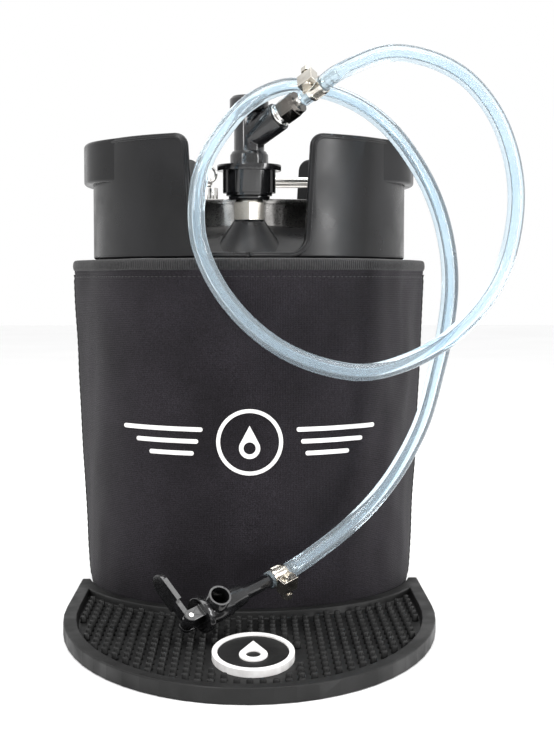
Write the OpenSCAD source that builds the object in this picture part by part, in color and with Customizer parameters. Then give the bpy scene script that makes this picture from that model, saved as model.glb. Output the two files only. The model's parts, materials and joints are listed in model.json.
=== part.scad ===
// Small beer keg in a neoprene sleeve, with coupler, clear hose, tap and drip mat.
// Origin: centre of the base on the floor. +Z is up, -Y is the front with the liquid post.

/* [Vessel] */
// Outer radius of the steel shell
shell_r = 111; // [100:1:120]
// Wall thickness of the steel shell
shell_wall = 1.2; // [1:0.1:2]
// Height at which the side wall meets the top dome
shoulder_z = 222; // [215:1:224]
// Distance of each post from the keg's axis
post_y = 75; // [74:1:77]

/* [Rubber top] */
// Height of the rubber top's rim
rim_z = 323.5; // [320:0.5:330]
// Outer radius of the rubber wall
wall_r = 113.5; // [112.5:0.5:115]
// Thickness of the rubber wall
wall_t = 5; // [4:0.5:6]
// Width of the notch at the front and at the back
notch_w = 79; // [70:1:90]

/* [Sleeve] */
// Thickness of the neoprene
sleeve_t = 4.6; // [4:0.1:5]
// Height of the sleeve's top edge
sleeve_top = 239; // [230:1:240]

/* [Drip mat] */
// Half of the mat's width
mat_half_w = 122; // [120:1:130]
// Distance from the keg's axis to the mat's front edge
mat_front = 297; // [280:1:305]
// Height of the mat's rim
mat_rim_z = 9.4; // [9:0.1:10]

/* [Hose] */
// Outer diameter of the hose
hose_d = 11.1; // [10:0.1:11.2]

/* [Hidden] */
$fn = 96;

// Torispherical dome: a small knuckle arc, then a shallow crown
knuckle_r = 20;
knuckle_sweep = 60;
base_z = 50;
boot_h = 54;
knuckle_x = shell_r - knuckle_r;
crown_x = knuckle_x + knuckle_r * cos(knuckle_sweep);
crown_r = crown_x / cos(knuckle_sweep);
crown_drop = knuckle_r * sin(knuckle_sweep) - crown_r * sin(knuckle_sweep);
// A dome's height above its edge at distance x from the axis, set in by t
function dome_h(x, t = 0) = x > crown_x
    ? sqrt(max(0, pow(knuckle_r - t, 2) - pow(x - knuckle_x, 2)))
    : crown_drop + sqrt(pow(crown_r - t, 2) - x * x);
function dome_z(x) = shoulder_z + dome_h(x);

// Rubber deck on the dome, and the boot under the shell
deck_t = 4;
deck_gap = 0.05;
// The wall starts just above the sleeve; its grips stand proud by grip_t above grip_z
wall_z = 241.5;
grip_z = 294;
grip_t = 6.5;
boot_r = shell_r + 1.4;

// Lid opening: a stadium, two half circles this far from the middle
oval_x = 12;
collar_r = 44;
collar_lip_r = 47;
opening_r = 36;
collar_top = 283.5;

// Bail pivot, wire, ears and feet, then the relief valve and its pull ring
pivot = [-8, 0, 298];
wire_r = 2.5;
ear_y = 27;
foot_y = 41.5;
relief_x = -30;
ring_z = 303.8;
ring_r = 5.6;

// Posts
bung_r = 7;
bung_bore = 5.2;
bung_top = 272;
cone_top = 267;
post_top = 299;
post_r = 8.4;
// The coupler holds the liquid poppet down by this much
poppet_drop = 2.5;
tube_flange_z = 272.7;

// Coupler side outlet: height of its axis, its rise and its turn towards the front
outlet_z = 323;
outlet_rise = 28;
outlet_turn = 35;
// Lock balls, and the flange that guides the collar
ball_z = 286;
guide_r = 14.44;
stem_r = 10.3;
cap_z = 340.1;
clamp_at = 56;
clamp_w = 11;
lower_clamp_roll = 200;
band_r = hose_d / 2 + 0.05;
band_t = 0.8;

// Tap: where the hose ends on it, its heading, its downward tilt and its turn about its own axis
tap_at = [12, -152, 35.5];
tap_heading = 218;
tap_tilt = 14.7;
tap_roll = 136;
spout_l = 15;
spout_z = 45;
lever_z = 65;
lever_pin_r = 1.5;

outlet_at = [0, -post_y, outlet_z];
outlet_way = [cos(outlet_rise) * cos(outlet_turn), -cos(outlet_rise) * sin(outlet_turn), sin(outlet_rise)];
tap_way = [cos(tap_tilt) * cos(tap_heading), cos(tap_tilt) * sin(tap_heading), -sin(tap_tilt)];

// Sleeve, its emblem and the drip mat
sleeve_in = boot_r + 0.3;
sleeve_out = sleeve_in + sleeve_t;
seam_reach = 128;
emblem_z = 120;
emblem_r = 22;
mat_floor_z = 4.4;
mat_rim_w = 9;
mat_mid_y = -110;
mat_back_y = -24;
mat_keg_gap = 1;

// Hose centreline: straight off the barb, round the loop, down the front and straight onto the tap
HOSE = concat(
    [for (s = [49, 65, 82]) outlet_at + s * outlet_way],
    [[87, -127, 371], [112, -132, 368],
     [136, -135, 356], [154, -136, 336], [165, -137, 312], [170, -138, 285], [168, -140, 257],
     [160, -142, 230], [145, -144, 207], [125, -145, 188], [101, -146, 175], [74, -146, 168],
     [46, -144, 172], [20, -142, 183], [-3, -139, 201], [-21, -135, 224], [-32, -130, 250],
     [-34, -125, 276], [-29, -118, 302], [-16, -109, 325], [1, -100, 344], [25, -82, 356.5],
     [50, -73, 355], [74, -78, 345], [94, -88, 328], [110, -99, 305], [122, -109, 279],
     [129, -116, 251], [131, -120, 223], [128, -121, 194], [122, -121, 166], [113, -120, 133],
     [98, -119, 103], [81, -119, 80], [63, -122, 63], [46, -129, 51]],
    [for (s = [-22, -10, 0]) tap_at + s * tap_way]);

// ---------- shared shapes ----------

module stadium(r, h, z) {
    translate([0, 0, z]) linear_extrude(h) {
        translate([-oval_x, 0]) circle(r);
        translate([oval_x, 0]) circle(r);
        square([2 * oval_x, 2 * r], center = true);
    }
}

module stadium_ring(r_out, r_in, h, z) {
    difference() {
        stadium(r_out, h, z);
        stadium(r_in, h + 1, z - 0.5);
    }
}

module tube(r_out, r_in, h, z = 0) {
    translate([0, 0, z]) difference() {
        cylinder(r = r_out, h = h);
        translate([0, 0, -1]) cylinder(r = r_in, h = h + 2);
    }
}

module segment(a, b, r) {
    d = b - a;
    translate(a) rotate([0, acos(d[2] / norm(d)), atan2(d[1], d[0])]) cylinder(r = r, h = norm(d));
}

// A bent rod: straight stretches with a ball at each bend
module rod(points, r) {
    for (i = [1 : len(points) - 1]) segment(points[i - 1], points[i], r);
    if (len(points) > 2)
        for (i = [1 : len(points) - 2]) translate(points[i]) sphere(r = r);
}

// Catmull-Rom point between b and c
function spline(a, b, c, d, t) = 0.5 * (2 * b + (c - a) * t + (2 * a - 5 * b + 4 * c - d) * t * t
    + (3 * b - a - 3 * c + d) * t * t * t);
function smooth_path(p, n) = [
    for (i = [0 : len(p) - 2], k = [0 : n - 1])
        spline(p[max(0, i - 1)], p[i], p[i + 1], p[min(len(p) - 1, i + 2)], k / n),
    p[len(p) - 1]];
function unit(v) = v / norm(v);
function tangents(p) = [for (i = [0 : len(p) - 1])
    unit(p[min(len(p) - 1, i + 1)] - p[max(0, i - 1)])];
// Side vectors carried along the path without twist
function carry(t, i, side) = let (s = unit(side - (side * t[i]) * t[i]))
    i == len(t) - 1 ? [s] : concat([s], carry(t, i + 1, s));

module sweep(path, r, sides, start = [0, 1, 0]) {
    t = tangents(path);
    u = carry(t, 0, start);
    n = len(path);
    points = [for (i = [0 : n - 1], k = [0 : sides - 1])
        path[i] + r * (cos(360 * k / sides) * u[i] + sin(360 * k / sides) * cross(t[i], u[i]))];
    sides_faces = [for (i = [0 : n - 2], k = [0 : sides - 1])
        [i * sides + k, (i + 1) * sides + k,
         (i + 1) * sides + (k + 1) % sides, i * sides + (k + 1) % sides]];
    polyhedron(points, concat([[for (k = [0 : sides - 1]) k]], sides_faces,
        [[for (k = [sides - 1 : -1 : 0]) (n - 1) * sides + k]]));
}

module coil(r, wire, z0, z1, turns) {
    steps = 14;
    low = z0 + wire;
    high = z1 - wire;
    path = [for (i = [0 : turns * steps])
        [r * cos(360 * i / steps), r * sin(360 * i / steps),
         low + (high - low) * i / (turns * steps)]];
    sweep(path, wire, 6, [0, 0, 1]);
}

module hex(across, h, z = 0) {
    translate([0, 0, z]) cylinder(r = across / 2 / cos(30), h = h, $fn = 6);
}

// ---------- vessel ----------

// Half outline of the shell's solid, set in by t
function shell_outline(t) = concat(
    [[0, base_z - dome_h(0, t)]],
    [for (i = [1 : 8]) let (x = crown_x * i / 8) [x, base_z - dome_h(x, t)]],
    [for (a = [knuckle_sweep - 10 : -10 : 0])
        [knuckle_x + (knuckle_r - t) * cos(a), base_z - (knuckle_r - t) * sin(a)]],
    [for (a = [0 : 10 : knuckle_sweep - 10])
        [knuckle_x + (knuckle_r - t) * cos(a), shoulder_z + (knuckle_r - t) * sin(a)]],
    [for (i = [8 : -1 : 0]) let (x = crown_x * i / 8) [x, shoulder_z + dome_h(x, t)]]);

module shell() {
    color("silver") difference() {
        union() {
            rotate_extrude() polygon(shell_outline(0));
            stadium(collar_r, collar_top - 245, 245);
            stadium(collar_lip_r, 3.5, collar_top - 3.5);
            for (s = [-1, 1]) translate([0, s * post_y, 242]) cylinder(r = bung_r, h = bung_top - 242);
        }
        rotate_extrude() polygon(shell_outline(shell_wall));
        stadium(opening_r, 60, 240);
        stadium(41, collar_top - 7.5 - 240, 240);
        for (s = [-1, 1]) translate([0, s * post_y, 235]) {
            cylinder(r = bung_bore - 1, h = 50);
            translate([0, 0, bung_top - 237]) cylinder(r = bung_bore, h = 10);
        }
    }
}

// Half outline of the rubber deck that lies on the dome
function deck_outline() = concat(
    [for (x = [40 : 8 : 96]) [x, dome_z(x) + deck_gap]],
    [for (a = [60 : -10 : 0]) [knuckle_x + (knuckle_r + deck_gap) * cos(a),
                              shoulder_z + (knuckle_r + deck_gap) * sin(a)]],
    [[shell_r + 0.9, shoulder_z], [shell_r + 0.9, wall_z - 0.7], [wall_r, wall_z],
     [wall_r, wall_z + 1.5], [wall_r - wall_t, wall_z + 1.5]],
    [for (x = [104 : -8 : 40]) [x, dome_z(x) + deck_t]]);

module notch_cut(w, z) {
    r = 12;
    translate([0, 0, z]) rotate([90, 0, 0]) linear_extrude(260, center = true) {
        translate([-w / 2, r]) square([w, 120]);
        translate([-w / 2 + r, 0]) square([w - 2 * r, 20]);
        for (s = [-1, 1]) translate([s * (w / 2 - r), r]) circle(r);
    }
}

module top_grip() {
    color([0.07, 0.07, 0.075]) difference() {
        union() {
            rotate_extrude() polygon(deck_outline());
            difference() {
                union() {
                    translate([0, 0, wall_z]) cylinder(r = wall_r, h = rim_z - wall_z);
                    // a lip to lift by stands proud at each side
                    intersection() {
                        translate([0, 0, grip_z]) cylinder(r = wall_r + grip_t, h = rim_z - grip_z);
                        translate([0, 0, 290]) cube([260, 150, 80], center = true);
                    }
                }
                translate([0, 0, 230]) cylinder(r = wall_r - wall_t, h = 120);
                notch_cut(notch_w, 245);
            }
            for (s = [-1, 1]) translate([0, s * post_y, 246])
                cylinder(r1 = 28, r2 = 10.5, h = cone_top - 246);
        }
        translate([0, 0, deck_gap]) rotate_extrude() polygon(concat([[0, 200]],
            [for (x = [0 : 8 : 96]) [x, dome_z(x)]],
            [for (a = [60 : -10 : 0]) [knuckle_x + (knuckle_r + deck_gap) * cos(a),
                                      shoulder_z + (knuckle_r + deck_gap) * sin(a)]],
            [[shell_r + deck_gap, 200]]));
        stadium(collar_r + 0.3, 60, 230);
        for (s = [-1, 1]) translate([0, s * post_y, 230]) cylinder(r = bung_r + 0.3, h = 60);
    }
}

module base_boot() {
    color([0.07, 0.07, 0.075]) difference() {
        cylinder(r = boot_r, h = boot_h);
        rotate_extrude() polygon(concat(
            [[0, base_z - dome_h(0) - deck_gap]],
            [for (i = [1 : 8]) let (x = crown_x * i / 8) [x, base_z - dome_h(x) - deck_gap]],
            [for (a = [50 : -10 : 0]) [knuckle_x + (knuckle_r + deck_gap) * cos(a),
                                      base_z - (knuckle_r + deck_gap) * sin(a)]],
            [[shell_r + deck_gap, 60], [0, 60]]));
    }
}

// ---------- lid ----------

module lid() {
    color("gainsboro") difference() {
        union() {
            stadium(39.5, 3, collar_top - 16.9);
            stadium(34.5, 4, collar_top - 14.5);
            stadium_ring(34.5, 32.5, 11, collar_top - 11);
            for (s = [-1, 1]) translate([pivot[0], s * ear_y, 0]) {
                translate([-6, -2, collar_top - 11.5]) cube([12, 4, pivot[2] - collar_top + 11.5]);
                translate([0, 2, pivot[2]]) rotate([90, 0, 0]) cylinder(r = 6, h = 4);
            }
        }
        translate([pivot[0], 60, pivot[2]]) rotate([90, 0, 0]) cylinder(r = wire_r + 0.06, h = 120);
        translate([relief_x, 0, 258]) cylinder(r = 6.05, h = 30);
    }
}

module lid_gasket() {
    color([0.1, 0.1, 0.1]) stadium_ring(39, 35, 6.2, collar_top - 13.8);
}

module lid_bail() {
    x_end = 46;
    leg_y = 20;
    color("silver") for (s = [-1, 1])
        rod([[x_end, 0, pivot[2]], [x_end, s * leg_y, pivot[2]], [pivot[0], s * leg_y, pivot[2]],
             [pivot[0], s * foot_y, pivot[2]], [pivot[0], s * foot_y, collar_top + 6]], wire_r);
}

module bail_feet() {
    color([0.08, 0.08, 0.08]) for (s = [-1, 1]) translate([pivot[0], s * foot_y, collar_top + 0.7]) {
        cylinder(r1 = 2.8, r2 = 4.8, h = 1.8);
        translate([0, 0, 1.8]) cylinder(r = 4.8, h = 3.4);
    }
}

module relief_body() {
    color("silver") translate([relief_x, 0, 0]) difference() {
        union() {
            translate([0, 0, 262]) cylinder(r = 6, h = 12);
            hex(16, 9, 273.1);
            translate([0, 0, 282]) cylinder(r = 7, h = 12);
        }
        translate([0, 0, 258]) cylinder(r = 2, h = 30);
        translate([0, 0, 275]) cylinder(r = 4.7, h = 17);
        translate([0, 0, 288]) cylinder(r = 2.07, h = 20);
    }
}

module relief_nut() {
    color("silver") translate([relief_x, 0, 0]) difference() {
        hex(17, 3.6, 262.8);
        translate([0, 0, 258]) cylinder(r = 6.02, h = 12);
    }
}

module relief_stem() {
    color("silver") translate([relief_x, 0, 0]) difference() {
        union() {
            translate([0, 0, 275.1]) cylinder(r = 4.3, h = 2.4);
            translate([0, 0, 275.1]) cylinder(r = 2, h = 22);
            translate([0, 0, ring_z - ring_r]) sphere(r = 3.2);
        }
        // eye for the pull ring
        translate([-5, 0, ring_z - ring_r + 0.35]) rotate([0, 90, 0]) cylinder(r = 1.6, h = 10);
    }
}

module relief_ring() {
    color("silver") translate([relief_x, 0, ring_z]) rotate([90, 0, 0])
        rotate_extrude() translate([ring_r, 0]) circle(r = 1.1, $fn = 24);
}

module relief_spring() {
    color("silver") translate([relief_x, 0, 0]) coil(3.5, 0.45, 277.6, 291.8, 6);
}

// ---------- posts ----------

module post_shape() {
    difference() {
        union() {
            rotate([0, 0, 30]) hex(20.6, 11.7, cone_top + 0.3);
            translate([0, 0, 279]) cylinder(r = 9.2, h = 1.4);
            translate([0, 0, 280]) cylinder(r = post_r, h = post_top - 280.8);
            translate([0, 0, post_top - 0.9]) cylinder(r1 = post_r, r2 = post_r - 0.8, h = 0.9);
        }
        translate([0, 0, 260]) cylinder(r = bung_r + 0.05, h = 15);
        translate([0, 0, 270]) cylinder(r = bung_bore, h = 25.8);
        translate([0, 0, 290]) cylinder(r = 3, h = 20);
        // ball groove, then seal groove
        translate([0, 0, 284.2]) tube(10, 7.6, 3.6);
        translate([0, 0, 292]) tube(10, 7.2, 2.6);
    }
}

module post_seal_shape() {
    tube(8.35, 7.25, 2.2, 292.2);
}

module poppet_shape(drop) {
    translate([0, 0, -drop]) {
        translate([0, 0, 292]) cylinder(r = 4.6, h = 3.6);
        translate([0, 0, 295]) cylinder(r = 1.6, h = 3.6);
        translate([0, 0, 286]) cylinder(r = 2.2, h = 6.5);
    }
}

module liquid_post() { color("gainsboro") translate([0, -post_y, 0]) post_shape(); }
module gas_post() { color("gainsboro") translate([0, post_y, 0]) post_shape(); }
module liquid_post_seal() { color([0.1, 0.1, 0.1]) translate([0, -post_y, 0]) post_seal_shape(); }
module gas_post_seal() { color([0.1, 0.1, 0.1]) translate([0, post_y, 0]) post_seal_shape(); }
module liquid_poppet() { color("silver") translate([0, -post_y, 0]) poppet_shape(poppet_drop); }
module gas_poppet() { color("silver") translate([0, post_y, 0]) poppet_shape(0); }

module liquid_poppet_spring() {
    color("silver") translate([0, -post_y, 0]) coil(3.4, 0.4, 274.3, 291.9 - poppet_drop, 7);
}

module gas_poppet_spring() {
    color("silver") translate([0, post_y, 0]) coil(3.4, 0.4, 274.3, 291.9, 7);
}

// Dip tube: straight down, a knuckle, then a leg to the middle of the base
module dip_tube_rod(r, knuckle, up) {
    bend_z = 62;
    bend = 50;
    leg = 65;
    translate([0, 0, bend_z]) {
        cylinder(r = r, h = tube_flange_z - bend_z + up);
        sphere(r = knuckle);
        rotate([180 + bend, 0, 0]) cylinder(r = r, h = leg + up);
    }
}

module liquid_dip_tube() {
    color("silver") translate([0, -post_y, 0]) difference() {
        union() {
            dip_tube_rod(4, 5, 0);
            translate([0, 0, tube_flange_z]) cylinder(r = 5, h = 1.4);
        }
        dip_tube_rod(3.2, 3.8, 3);
    }
}

module gas_dip_tube() {
    color("silver") translate([0, post_y, 0]) {
        tube(4, 3.2, tube_flange_z - 226, 226);
        tube(5, 3.2, 1.4, tube_flange_z);
    }
}

module tube_seal_shape() {
    tube(5.15, 4.02, 1.7, tube_flange_z - 1.75);
}

module liquid_tube_seal() { color([0.1, 0.1, 0.1]) translate([0, -post_y, 0]) tube_seal_shape(); }
module gas_tube_seal() { color([0.1, 0.1, 0.1]) translate([0, post_y, 0]) tube_seal_shape(); }

// ---------- coupler ----------

module outlet_frame() {
    translate([0, -post_y, outlet_z]) rotate([0, 90 - outlet_rise, -outlet_turn]) children();
}

module coupler_body() {
    color([0.05, 0.05, 0.055]) difference() {
        union() {
            translate([0, -post_y, 0]) {
                translate([0, 0, 280.5]) cylinder(r1 = 13, r2 = 14, h = 1.2);
                translate([0, 0, 281.7]) cylinder(r = 14, h = 1.6);
                translate([0, 0, 283]) cylinder(r = 12.4, h = 20);
                translate([0, 0, 300.4]) cylinder(r = guide_r, h = 4.4);
                translate([0, 0, 304]) cylinder(r = 13, h = 7);
                translate([0, 0, 311]) cylinder(r1 = 13, r2 = 11.4, h = 2.6);
                translate([0, 0, 313]) cylinder(r = stem_r, h = cap_z - 313.1);
            }
            outlet_frame() cylinder(r = 9.8, h = 27.3);
        }
        translate([0, -post_y, 0]) {
            translate([0, 0, 270]) cylinder(r = post_r + 0.08, h = 30);
            translate([0, 0, 290]) cylinder(r = 5, h = 60);
            translate([0, 0, 335]) cylinder(r = 8, h = 20);
            for (a = [30, 150, 270]) rotate(a) translate([0, 0, ball_z]) rotate([0, 90, 0])
                cylinder(r = 2, h = 20);
        }
        outlet_frame() {
            cylinder(r = 3.4, h = 40);
            translate([0, 0, 18]) cylinder(r = 6.9, h = 20);
        }
    }
}

module coupler_cap() {
    color([0.05, 0.05, 0.055]) translate([0, -post_y, 0]) {
        translate([0, 0, 335.2]) cylinder(r = 7.95, h = 8);
        translate([0, 0, cap_z]) cylinder(r = 13.2, h = 8.4);
        translate([0, 0, cap_z + 8.4]) cylinder(r1 = 13.2, r2 = 11.2, h = 2.2);
    }
}

module coupler_collar() {
    color([0.05, 0.05, 0.055]) translate([0, -post_y, 0]) difference() {
        union() {
            translate([0, 0, 283.7]) cylinder(r = 15.6, h = 1.8);
            translate([0, 0, 285.4]) cylinder(r = 16.6, h = 16.2);
            translate([0, 0, 300.4]) cylinder(r = 21.7, h = 4);
            for (a = [0, 180]) rotate(a) translate([0, 0, 294])
                intersection() {
                    translate([14.5, 0, 0]) cube([7, 17, 17], center = true);
                    cylinder(r = 17.9, h = 40, center = true);
                }
        }
        translate([0, 0, 280]) cylinder(r = 12.48, h = 30);
        translate([0, 0, 288.6]) cylinder(r = guide_r + 0.07, h = 30);
    }
}

module coupler_collar_spring() {
    color("silver") translate([0, -post_y, 0]) coil(13.45, 0.6, 288.8, 300.2, 4);
}

module coupler_balls() {
    color("silver") translate([0, -post_y, ball_z])
        for (a = [30, 150, 270]) rotate(a) translate([9.9, 0, 0]) sphere(r = 1.9);
}

module coupler_pin() {
    color([0.6, 0.6, 0.6]) translate([0, -post_y, 0]) {
        translate([0, 0, 296.3]) cylinder(r = 1.8, h = 24);
        translate([0, 0, 317]) cylinder(r = 4.2, h = 3);
    }
}

module coupler_pin_spring() {
    color("silver") translate([0, -post_y, 0]) coil(3.4, 0.45, 320.4, 335, 5);
}

module outlet_nipple() {
    color("silver") outlet_frame() difference() {
        union() {
            translate([0, 0, 18.2]) cylinder(r = 6.85, h = 21);
            translate([0, 0, 27.4]) cylinder(r = 8.4, h = 1.8);
        }
        translate([0, 0, 10]) cylinder(r = 3, h = 40);
    }
}

module swivel_nut() {
    color([0.62, 0.6, 0.58]) outlet_frame() difference() {
        union() {
            hex(15.6, 10.5, 32);
            translate([0, 0, 42]) cylinder(r = 7.6, h = 3.5);
        }
        translate([0, 0, 30]) cylinder(r = 6.92, h = 13);
        translate([0, 0, 30]) cylinder(r = 3.15, h = 30);
    }
}

module hose_barb() {
    color("silver") outlet_frame() difference() {
        union() {
            translate([0, 0, 39.4]) cylinder(r = 6.4, h = 3.2);
            translate([0, 0, 42]) cylinder(r = 3.1, h = 38);
            for (i = [0 : 2]) translate([0, 0, 66 + 4.4 * i]) cylinder(r1 = 3.7, r2 = 3.1, h = 4);
        }
        translate([0, 0, 30]) cylinder(r = 2, h = 60);
    }
}

// ---------- hose and clamps ----------

module hose() {
    color([0.75, 0.85, 0.92]) sweep(smooth_path(HOSE, 2), hose_d / 2, 10);
}

// Worm-drive clamp, its band round local Z from z = 0
module clamp_band() {
    tube(band_r + band_t, band_r, clamp_w);
}

module clamp_housing() {
    difference() {
        translate([-5, band_r + band_t + 0.05, -0.6]) cube([10, 6.4, clamp_w + 1.2]);
        translate([-20, band_r + band_t + 3.4, clamp_w / 2]) rotate([0, 90, 0]) cylinder(r = 2.66, h = 40);
    }
}

module clamp_screw() {
    translate([-7, band_r + band_t + 3.4, clamp_w / 2]) rotate([0, 90, 0]) {
        cylinder(r = 2.6, h = 14.5);
        difference() {
            translate([0, 0, 13.2]) hex(7, 4);
            translate([0, 0, 16.6]) cube([9, 1, 2], center = true);
        }
    }
}

module upper_clamp_frame() {
    outlet_frame() translate([0, 0, clamp_at]) rotate([0, 0, 145]) children();
}

module lower_clamp_frame() {
    tap_frame() translate([0, 0, -clamp_w - 2]) rotate([0, 0, lower_clamp_roll]) children();
}

module upper_clamp_band() { color("silver") upper_clamp_frame() clamp_band(); }
module upper_clamp_housing() { color("silver") upper_clamp_frame() clamp_housing(); }
module upper_clamp_screw() { color("silver") upper_clamp_frame() clamp_screw(); }
module lower_clamp_band() { color("silver") lower_clamp_frame() clamp_band(); }
module lower_clamp_housing() { color("silver") lower_clamp_frame() clamp_housing(); }
module lower_clamp_screw() { color("silver") lower_clamp_frame() clamp_screw(); }

// ---------- tap ----------

// Local Z runs from the hose to the lever, local X out of the spout, local Y up the lever
module tap_frame() {
    translate(tap_at) rotate([0, 90 + tap_tilt, tap_heading]) rotate([0, 0, tap_roll]) children();
}

module tap_body() {
    color([0.05, 0.05, 0.055]) tap_frame() difference() {
        union() {
            translate([0, 0, -22]) cylinder(r = 3, h = 24);
            for (i = [0 : 1]) translate([0, 0, -20 + 4.4 * i]) cylinder(r1 = 3, r2 = 3.6, h = 4);
            translate([0, 0, 0.1]) cylinder(r = 4.6, h = 24);
            translate([0, 0, 22]) cylinder(r1 = 6.4, r2 = 8.4, h = 14);
            translate([0, 0, 35]) cylinder(r = 9, h = 17);
            translate([0, 0, spout_z]) rotate([0, 90, 0]) cylinder(r = 7, h = spout_l);
        }
        translate([0, 0, -30]) cylinder(r = 2, h = 60);
        translate([0, 0, 24]) cylinder(r = 4.5, h = 9);
        translate([0, 0, 25]) cylinder(r = 2.8, h = 12);
        translate([0, 0, 34.2]) cylinder(r = 6.2, h = 20);
        translate([0, 0, spout_z]) rotate([0, 90, 0]) cylinder(r = 5.8, h = spout_l + 1);
    }
}

module tap_bonnet() {
    color([0.05, 0.05, 0.055]) tap_frame() difference() {
        union() {
            translate([0, 0, 51.2]) tube(6.15, 4.6, 1);
            translate([0, 0, 52.1]) cylinder(r = 11.4, h = 4.4);
            for (s = [-1, 1]) translate([s * 6, 0, 0]) {
                translate([-1.4, -4, 56]) cube([2.8, 8, lever_z - 56]);
                translate([-1.4, 0, lever_z]) rotate([0, 90, 0]) cylinder(r = 4, h = 2.8);
            }
        }
        translate([0, 0, 40]) cylinder(r = 1.66, h = 20);
        translate([0, 0, 40]) cylinder(r = 4.6, h = 12);
        translate([-20, 0, lever_z]) rotate([0, 90, 0]) cylinder(r = lever_pin_r, h = 40);
    }
}

module tap_plunger() {
    color("silver") tap_frame() {
        translate([0, 0, 29.8]) cylinder(r = 4.1, h = 1.8);
        translate([0, 0, 29.8]) cylinder(r = 1.6, h = 30.8);
    }
}

module tap_seal() {
    color([0.1, 0.1, 0.1]) tap_frame() tube(4, 1.65, 1.2, 31.65);
}

module tap_spring() {
    color("silver") tap_frame() coil(3.4, 0.4, 24.1, 29.7, 4);
}

module tap_lever() {
    reach = 36;
    color([0.05, 0.05, 0.055]) tap_frame() difference() {
        union() {
            translate([-4.3, 0, lever_z]) rotate([0, 90, 0]) cylinder(r = 4, h = 8.6);
            translate([-4.3, 0, lever_z - 1.6]) cube([8.6, 16, 3.2]);
            translate([-7.5, 13, lever_z - 1.6]) cube([15, reach - 20, 3.2]);
            translate([0, reach - 7.5, lever_z - 1.6]) cylinder(r = 7.5, h = 3.2);
        }
        translate([-20, 0, lever_z]) rotate([0, 90, 0]) cylinder(r = lever_pin_r + 0.06, h = 40);
    }
}

module tap_lever_pin() {
    color("silver") tap_frame() translate([-7.6, 0, lever_z]) rotate([0, 90, 0])
        cylinder(r = lever_pin_r, h = 15.2);
}

// ---------- sleeve ----------

module sleeve() {
    color([0.14, 0.13, 0.15]) {
        tube(sleeve_out, sleeve_in, sleeve_top - 3, 3);
        // the two side seams stand away from the keg towards the top
        for (s = [0, 1]) mirror([s, 0, 0]) rotate([90, 0, 0]) linear_extrude(6, center = true)
            polygon([[sleeve_out - 1, 60], [sleeve_out, 60], [seam_reach, sleeve_top - 6],
                     [seam_reach, sleeve_top], [sleeve_out - 1, sleeve_top]]);
    }
}

module sleeve_binding() {
    color([0.1, 0.1, 0.1]) tube(sleeve_out, sleeve_in, 1.4, sleeve_top + 0.02);
}

module emblem_outline() {
    difference() {
        circle(emblem_r);
        circle(emblem_r - 2.6);
    }
    difference() {
        union() {
            translate([0, -4]) circle(7);
            polygon([[-6.06, -0.5], [6.06, -0.5], [0, 11]]);
        }
        translate([0, -4]) circle(4);
    }
    for (s = [-1, 1], i = [0 : 2])
        translate([s * (58 - 3 * i), 8 - 8 * i]) square([54 - 12 * i, 3], center = true);
}

module sleeve_emblem() {
    color("white") intersection() {
        tube(sleeve_out + 0.45, sleeve_out + 0.03, 90, emblem_z - 45);
        translate([0, 0, emblem_z]) rotate([90, 0, 0]) linear_extrude(200) emblem_outline();
    }
}

// ---------- drip mat ----------

// Front of the mat: half an ellipse, set in by d, with straight sides behind it
module mat_front_outline(d) {
    a = mat_half_w - d;
    b = mat_front + mat_mid_y - d;
    polygon(concat([[a, mat_back_y - d], [-a, mat_back_y - d]],
        [for (t = [180 : 6 : 360]) [a * cos(t), mat_mid_y + b * sin(t)]]));
}

module mat_outline(d) {
    difference() {
        mat_front_outline(d);
        circle(sleeve_out + mat_keg_gap + d);
    }
}

module drip_mat() {
    color([0.06, 0.06, 0.06]) difference() {
        linear_extrude(mat_rim_z) mat_outline(0);
        translate([0, 0, mat_floor_z]) linear_extrude(20) mat_outline(mat_rim_w);
    }
}

module mat_badge() {
    half_w = 24.5;
    half_l = 42;
    module oval(d) {
        polygon([for (t = [0 : 6 : 354]) [(half_w - d) * cos(t), (half_l - d) * sin(t)]]);
    }
    color("white") translate([2, -220, mat_floor_z]) {
        linear_extrude(3.6) oval(0.6);
        linear_extrude(4.6) difference() {
            oval(0);
            oval(2.4);
        }
    }
}

shell();
top_grip();
base_boot();
lid();
lid_gasket();
lid_bail();
bail_feet();
relief_body();
relief_nut();
relief_stem();
relief_ring();
relief_spring();
liquid_post();
liquid_poppet();
liquid_poppet_spring();
liquid_post_seal();
liquid_dip_tube();
liquid_tube_seal();
gas_post();
gas_poppet();
gas_poppet_spring();
gas_post_seal();
gas_dip_tube();
gas_tube_seal();
coupler_body();
coupler_cap();
coupler_collar();
coupler_collar_spring();
coupler_balls();
coupler_pin();
coupler_pin_spring();
outlet_nipple();
swivel_nut();
hose_barb();
upper_clamp_band();
upper_clamp_housing();
upper_clamp_screw();
hose();
lower_clamp_band();
lower_clamp_housing();
lower_clamp_screw();
tap_body();
tap_bonnet();
tap_plunger();
tap_seal();
tap_spring();
tap_lever();
tap_lever_pin();
sleeve();
sleeve_binding();
sleeve_emblem();
drip_mat();
mat_badge();
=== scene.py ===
"""Looks of a small beer keg: camera, hose, sleeve, rubber top, mat and the finish of every part."""
import json
import math

import bmesh
import bpy
from mathutils import Matrix, Vector, noise


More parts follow.
